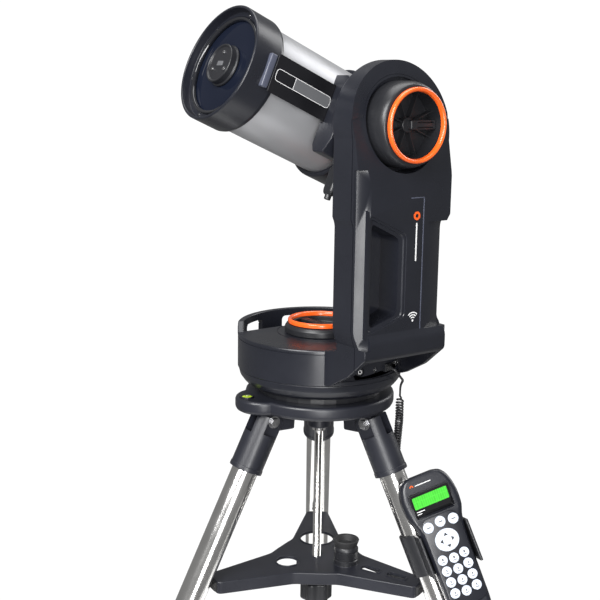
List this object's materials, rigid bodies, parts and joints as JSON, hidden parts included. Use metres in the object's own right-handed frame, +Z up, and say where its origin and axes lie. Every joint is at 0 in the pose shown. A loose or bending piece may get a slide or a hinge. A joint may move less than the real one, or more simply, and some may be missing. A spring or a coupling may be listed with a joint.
{
  "type": "schmidt cassegrain telescope",
  "caption": "Short-tube catadioptric telescope on a motorised single-arm mount and a steel tripod, with a cradled hand control.",
  "frame": {"origin": "on the floor under the middle of the object's bounding box, without the hand control's cord", "axes": "+Z up, +X along the altitude axis out of the arm's outer face, -Y the way the tube points seen from above"},
  "size_m": [0.698, 0.6508, 1.1842],
  "materials": {
    "charcoal_plastic": "fine-textured satin",
    "charcoal_casting": "charcoal paint, satin",
    "black_plastic": "semi-gloss",
    "black_aluminium": "black anodised",
    "orange_ring": "gloss",
    "silver_tube": "satin metallic",
    "polished_steel": "polished",
    "corrector_glass": "coated",
    "mirror_coating": "polished",
    "black_rubber": "matt",
    "pale_silicone": "soft satin",
    "green_display": "backlit panel",
    "level_fluid": "clear",
    "battery_wrap": "film wrap"
  },
  "bodies": {
    "tripod": {"tripod_head": "charcoal_casting", "bubble_level": "level_fluid", "centre_rod": "polished_steel", "azimuth_base": "black_aluminium", "leg_1_hinge_bolt": "polished_steel", "leg_2_hinge_bolt": "polished_steel", "leg_3_hinge_bolt": "polished_steel"},
    "spreader": {"spreader": "charcoal_casting"},
    "spreader_knob": {"spreader_knob": "black_plastic"},
    "spare_eyepiece": {"spare_eyepiece": "black_plastic"},
    "azimuth": {"base_lower_housing": "black_plastic", "base_upper_housing": "charcoal_plastic", "arm_inner_shell": "charcoal_plastic", "arm_outer_shell": "charcoal_plastic", "azimuth_motor": "polished_steel", "altitude_motor": "polished_steel", "battery_pack": "battery_wrap", "hand_control_plug": "black_plastic", "hand_control_cord": "black_rubber"},
    "power_button": {"power_button": "pale_silicone"},
    "azimuth_clutch": {"azimuth_clutch_knob": "black_plastic", "azimuth_clutch_ring": "orange_ring"},
    "altitude_clutch": {"altitude_clutch_knob": "black_plastic", "altitude_clutch_ring": "orange_ring"},
    "altitude": {"altitude_axle": "polished_steel", "saddle": "charcoal_casting"},
    "saddle_knob": {"saddle_knob": "black_plastic"},
    "optical_tube": {"dovetail_rail": "black_aluminium", "optical_tube": "silver_tube", "front_cell": "charcoal_casting", "corrector_plate": "corrector_glass", "secondary_cell": "black_plastic", "rear_cell": "charcoal_casting", "baffle_tube": "black_aluminium", "visual_back": "black_plastic", "finder": "black_plastic"},
    "focus_knob": {"focus_knob": "black_plastic"},
    "primary_mirror": {"primary_mirror": "mirror_coating"},
    "diagonal": {"star_diagonal": "black_plastic", "eyepiece": "black_plastic"},
    "hand_control": {"hand_control_case": "charcoal_plastic", "hand_control_screen": "green_display"},
    "keypad": {"hand_control_keypad": "pale_silicone"},
    "leg_1": {"leg_1_hinge_sleeve": "charcoal_casting", "leg_1_tube": "polished_steel"},
    "leg_1_extension": {"leg_1_extension": "polished_steel", "leg_1_foot": "black_rubber"},
    "leg_1_lock_knob": {"leg_1_lock_knob": "black_plastic"},
    "leg_2": {"leg_2_hinge_sleeve": "charcoal_casting", "leg_2_tube": "polished_steel"},
    "leg_2_extension": {"leg_2_extension": "polished_steel", "leg_2_foot": "black_rubber"},
    "leg_2_lock_knob": {"leg_2_lock_knob": "black_plastic"},
    "leg_3": {"leg_3_hinge_sleeve": "charcoal_casting", "leg_3_tube": "polished_steel", "hand_control_holder": "black_plastic", "hand_control_coil": "black_rubber"},
    "leg_3_extension": {"leg_3_extension": "polished_steel", "leg_3_foot": "black_rubber"},
    "leg_3_lock_knob": {"leg_3_lock_knob": "black_plastic"}
  },
  "joints": [
    {"name": "spreader_slide", "type": "slide", "parent": "tripod", "child": "spreader", "axis": [0, 0, -1], "range_m": [0, 0.3]},
    {"name": "spreader_knob_turn", "type": "hinge", "parent": "spreader", "child": "spreader_knob", "pos_m": [-0.02396, 0.0748, 0.339], "axis": [0, 0, 1], "range_deg": [0, 720]},
    {"name": "spare_eyepiece_lift", "type": "slide", "parent": "spreader", "child": "spare_eyepiece", "axis": [0, 0, 1], "range_m": [0, 0.05]},
    {"name": "leg_1_fold", "type": "hinge", "parent": "tripod", "child": "leg_1", "pos_m": [-0.09016, 0.12487, 0.615], "axis": [-0.6032, -0.7976, 0], "range_deg": [0, 14.2]},
    {"name": "leg_1_extend", "type": "slide", "parent": "leg_1", "child": "leg_1_extension", "axis": [-0.3441, 0.2603, -0.9021], "range_m": [0, 0.4]},
    {"name": "leg_1_lock_turn", "type": "hinge", "parent": "leg_1", "child": "leg_1_lock_knob", "pos_m": [-0.31343, 0.29372, 0.09598], "axis": [-0.7195, 0.5442, 0.4315], "range_deg": [-90, 90]},
    {"name": "leg_2_fold", "type": "hinge", "parent": "tripod", "child": "leg_2", "pos_m": [-0.03422, -0.00756, 0.615], "axis": [0.9923, -0.1236, 0], "range_deg": [0, 14.2]},
    {"name": "leg_2_extend", "type": "slide", "parent": "leg_2", "child": "leg_2_extension", "axis": [-0.0533, -0.4281, -0.9021], "range_m": [0, 0.4]},
    {"name": "leg_2_lock_turn", "type": "hinge", "parent": "leg_2", "child": "leg_2_lock_knob", "pos_m": [-0.06882, -0.28535, 0.09598], "axis": [-0.1115, -0.8952, 0.4315], "range_deg": [-90, 90]},
    {"name": "leg_3_fold", "type": "hinge", "parent": "tripod", "child": "leg_3", "pos_m": [0.0525, 0.1071, 0.615], "axis": [-0.3891, 0.9212, 0], "range_deg": [0, 14.2]},
    {"name": "leg_3_extend", "type": "slide", "parent": "leg_3", "child": "leg_3_extension", "axis": [0.3975, 0.1679, -0.9021], "range_m": [0, 0.4]},
    {"name": "leg_3_lock_turn", "type": "hinge", "parent": "leg_3", "child": "leg_3_lock_knob", "pos_m": [0.31036, 0.21602, 0.09598], "axis": [0.831, 0.351, 0.4315], "range_deg": [-90, 90]},
    {"name": "azimuth_turn", "type": "hinge", "parent": "tripod", "child": "azimuth", "pos_m": [-0.02396, 0.0748, 0.686], "axis": [0, 0, 1], "range_deg": [-175, 175]},
    {"name": "power_press", "type": "slide", "parent": "azimuth", "child": "power_button", "axis": [-0.9848, 0.1736, 0], "range_m": [0, 0.0015], "stiffness_N_per_m": 400},
    {"name": "azimuth_clutch_turn", "type": "hinge", "parent": "azimuth", "child": "azimuth_clutch", "pos_m": [-0.02396, 0.0748, 0.7363], "axis": [0, 0, 1], "range_deg": [0, 90]},
    {"name": "altitude_clutch_turn", "type": "hinge", "parent": "azimuth", "child": "altitude_clutch", "pos_m": [0.12654, 0.0748, 1.037], "axis": [1, 0, 0], "range_deg": [0, 90]},
    {"name": "altitude_turn", "type": "hinge", "parent": "azimuth", "child": "altitude", "pos_m": [0.09004, 0.0748, 1.037], "axis": [-1, 0, 0], "range_deg": [-38, 66]},
    {"name": "saddle_knob_turn", "type": "hinge", "parent": "altitude", "child": "saddle_knob", "pos_m": [0.06904, 0.03011, 0.9841], "axis": [0, 0.3971, 0.9178], "range_deg": [0, 720]},
    {"name": "tube_slide", "type": "slide", "parent": "altitude", "child": "optical_tube", "axis": [0, -0.9178, 0.3971], "range_m": [-0.05, 0.02]},
    {"name": "focus_turn", "type": "hinge", "parent": "optical_tube", "child": "focus_knob", "pos_m": [0.01404, 0.16552, 1.03261], "axis": [0, -0.9178, 0.3971], "range_deg": [-1800, 1800]},
    {"name": "mirror_slide", "type": "slide", "parent": "optical_tube", "child": "primary_mirror", "axis": [0, -0.9178, 0.3971], "range_m": [-0.0038, 0.0038]},
    {"name": "diagonal_turn", "type": "hinge", "parent": "optical_tube", "child": "diagonal", "pos_m": [-0.02396, 0.16658, 0.99729], "axis": [0, -0.9178, 0.3971], "range_deg": [-90, 90]},
    {"name": "hand_control_lift", "type": "slide", "parent": "leg_3", "child": "hand_control", "axis": [-0.3975, -0.1679, 0.9021], "range_m": [0, 0.06]},
    {"name": "keypad_press", "type": "slide", "parent": "hand_control", "child": "keypad", "axis": [-0.8323, 0.48, -0.2773], "range_m": [0, 0.0008], "stiffness_N_per_m": 600}
  ],
  "couplings": [
    {"joint": "leg_1_fold", "follows": "spreader_slide", "rad_per_m": 0.818},
    {"joint": "leg_2_fold", "follows": "spreader_slide", "rad_per_m": 0.818},
    {"joint": "leg_3_fold", "follows": "spreader_slide", "rad_per_m": 0.818},
    {"joint": "focus_turn", "follows": "mirror_slide", "rad_per_m": 8200}
  ]
}
